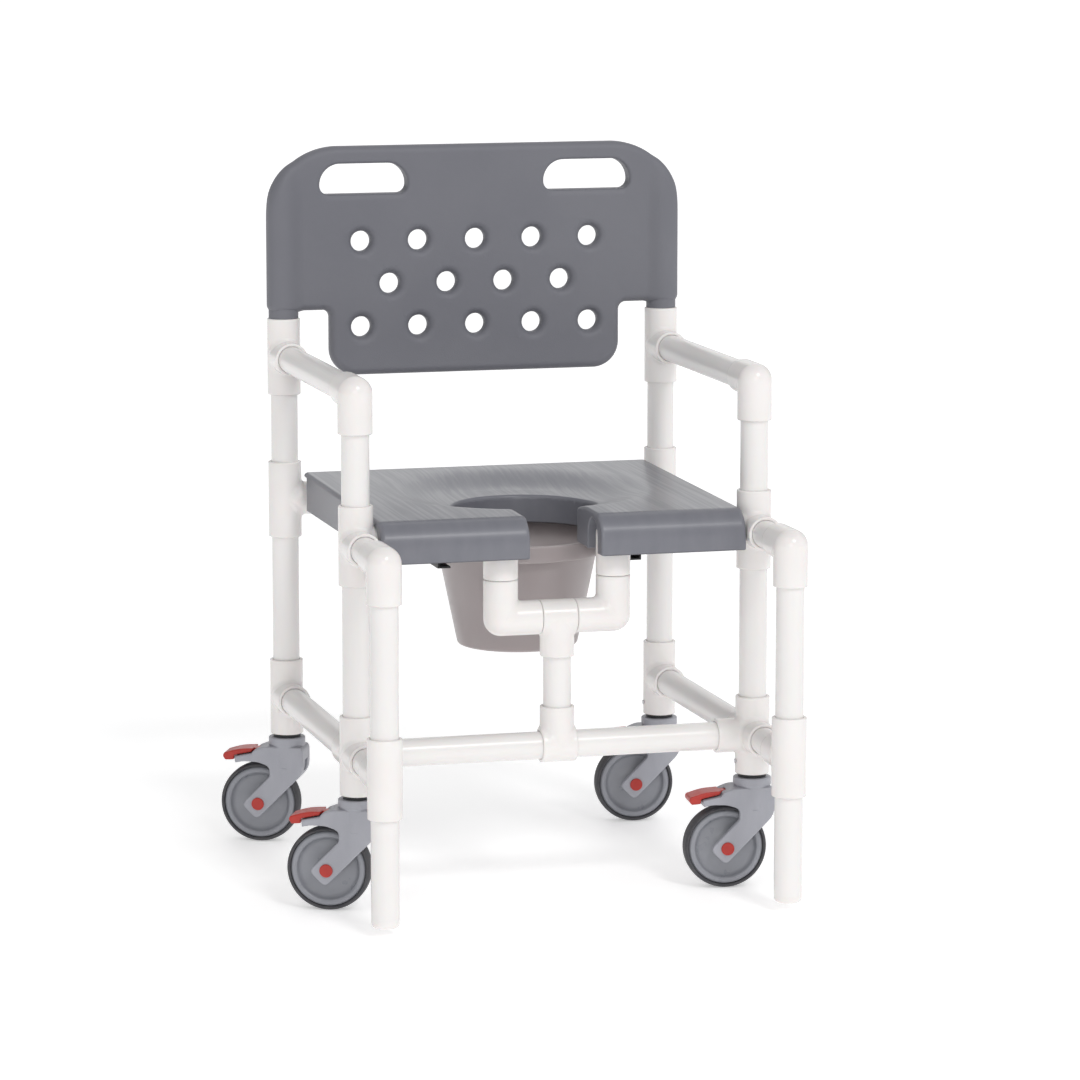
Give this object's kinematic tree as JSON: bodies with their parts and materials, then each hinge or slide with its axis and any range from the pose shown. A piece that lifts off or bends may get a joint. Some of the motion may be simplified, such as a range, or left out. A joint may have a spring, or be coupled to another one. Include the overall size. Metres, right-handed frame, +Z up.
{
  "type": "commode chair",
  "caption": "Wheeled shower and commode chair of white pipe with a perforated back, an open-front seat, a sliding pail and locking casters.",
  "frame": {"origin": "on the floor, midway between the four caster stems", "axes": "+Z up, the chair faces -Y, +X towards the sitter's left"},
  "size_m": [0.7509, 0.7567, 1.106],
  "materials": {
    "white_pvc": "glossy furniture-grade pipe, warm white",
    "back_plastic": "blow-moulded, fine grain",
    "seat_plastic": "satin, finely brushed towards the opening",
    "pail_plastic": "warm grey, smooth",
    "black_plastic": "black nylon",
    "caster_plastic": "light grey moulded nylon",
    "wheel_plastic": "light grey moulded",
    "red_plastic": "red moulded",
    "tyre_rubber": "dark grey non-marking tread",
    "steel": "zinc-plated steel"
  },
  "bodies": {
    "frame": {"arm_elbows": "white_pvc", "arm_rails": "white_pvc", "arm_tees": "white_pvc", "back_posts": "white_pvc", "caster_inserts": "black_plastic", "caster_stems": "steel", "cross_rail_tee": "white_pvc", "drop_cross_pipe": "white_pvc", "drop_elbows": "white_pvc", "drop_nipples": "white_pvc", "drop_pipe": "white_pvc", "drop_tee": "white_pvc", "front_cross_rail": "white_pvc", "front_lower_crosses": "white_pvc", "front_seat_crosses": "white_pvc", "front_seat_rails": "white_pvc", "front_upright_pipes": "white_pvc", "insert_screws": "steel", "leg_caps": "white_pvc", "lower_side_rails": "white_pvc", "outrigger_elbows": "white_pvc", "outrigger_legs": "white_pvc", "outrigger_links": "white_pvc", "outrigger_posts": "white_pvc", "outrigger_tees": "white_pvc", "rear_lower_tees": "white_pvc", "rear_seat_rail": "white_pvc", "rear_seat_tees": "white_pvc", "rear_upright_pipes": "white_pvc"},
    "backrest": {"backrest": "back_plastic"},
    "seat": {"seat_shell": "seat_plastic", "pail_rails": "black_plastic", "rail_screws": "steel"},
    "pail": {"pail": "pail_plastic"},
    "fork_front_right": {"fork_front_right": "caster_plastic", "axle_front_right": "steel", "axle_caps_front_right": "red_plastic"},
    "pedal_front_right": {"brake_pedal_front_right": "red_plastic"},
    "wheel_front_right": {"wheel_front_right": "wheel_plastic", "tyre_front_right": "tyre_rubber"},
    "fork_front_left": {"fork_front_left": "caster_plastic", "axle_front_left": "steel", "axle_caps_front_left": "red_plastic"},
    "pedal_front_left": {"brake_pedal_front_left": "red_plastic"},
    "wheel_front_left": {"wheel_front_left": "wheel_plastic", "tyre_front_left": "tyre_rubber"},
    "fork_rear_right": {"fork_rear_right": "caster_plastic", "axle_rear_right": "steel", "axle_caps_rear_right": "red_plastic"},
    "pedal_rear_right": {"brake_pedal_rear_right": "red_plastic"},
    "wheel_rear_right": {"wheel_rear_right": "wheel_plastic", "tyre_rear_right": "tyre_rubber"},
    "fork_rear_left": {"fork_rear_left": "caster_plastic", "axle_rear_left": "steel", "axle_caps_rear_left": "red_plastic"},
    "pedal_rear_left": {"brake_pedal_rear_left": "red_plastic"},
    "wheel_rear_left": {"wheel_rear_left": "wheel_plastic", "tyre_rear_left": "tyre_rubber"}
  },
  "joints": [
    {"name": "backrest_lift", "type": "slide", "parent": "frame", "child": "backrest", "axis": [0, 0, 1], "range_m": [0, 0.2]},
    {"name": "seat_lift", "type": "slide", "parent": "frame", "child": "seat", "axis": [0, 0, 1], "range_m": [0, 0.12]},
    {"name": "pail_slide", "type": "slide", "parent": "seat", "child": "pail", "axis": [0, 1, 0], "range_m": [0, 0.41]},
    {"name": "swivel_front_right", "type": "hinge", "parent": "frame", "child": "fork_front_right", "pos_m": [-0.309, -0.246, 0.1702], "axis": [0, 0, 1], "continuous": true},
    {"name": "wheel_spin_front_right", "type": "hinge", "parent": "fork_front_right", "child": "wheel_front_right", "pos_m": [-0.34752, -0.22804, 0.0635], "axis": [-0.4226, -0.9063, 0], "continuous": true},
    {"name": "pedal_front_right", "type": "hinge", "parent": "fork_front_right", "child": "pedal_front_right", "pos_m": [-0.34344, -0.22994, 0.147], "axis": [0.4226, 0.9063, 0], "range_deg": [0, 12]},
    {"name": "swivel_front_left", "type": "hinge", "parent": "frame", "child": "fork_front_left", "pos_m": [0.309, -0.246, 0.1702], "axis": [0, 0, 1], "continuous": true},
    {"name": "wheel_spin_front_left", "type": "hinge", "parent": "fork_front_left", "child": "wheel_front_left", "pos_m": [0.26673, -0.24156, 0.0635], "axis": [-0.1045, -0.9945, 0], "continuous": true},
    {"name": "pedal_front_left", "type": "hinge", "parent": "fork_front_left", "child": "pedal_front_left", "pos_m": [0.27121, -0.24203, 0.147], "axis": [0.1045, 0.9945, 0], "range_deg": [0, 12]},
    {"name": "swivel_rear_right", "type": "hinge", "parent": "frame", "child": "fork_rear_right", "pos_m": [-0.309, 0.246, 0.1702], "axis": [0, 0, 1], "continuous": true},
    {"name": "wheel_spin_rear_right", "type": "hinge", "parent": "fork_rear_right", "child": "wheel_rear_right", "pos_m": [-0.34752, 0.26396, 0.0635], "axis": [-0.4226, -0.9063, 0], "continuous": true},
    {"name": "pedal_rear_right", "type": "hinge", "parent": "fork_rear_right", "child": "pedal_rear_right", "pos_m": [-0.34344, 0.26206, 0.147], "axis": [0.4226, 0.9063, 0], "range_deg": [0, 12]},
    {"name": "swivel_rear_left", "type": "hinge", "parent": "frame", "child": "fork_rear_left", "pos_m": [0.309, 0.246, 0.1702], "axis": [0, 0, 1], "continuous": true},
    {"name": "wheel_spin_rear_left", "type": "hinge", "parent": "fork_rear_left", "child": "wheel_rear_left", "pos_m": [0.26673, 0.25044, 0.0635], "axis": [-0.1045, -0.9945, 0], "continuous": true},
    {"name": "pedal_rear_left", "type": "hinge", "parent": "fork_rear_left", "child": "pedal_rear_left", "pos_m": [0.27121, 0.24997, 0.147], "axis": [0.1045, 0.9945, 0], "range_deg": [0, 12]}
  ]
}
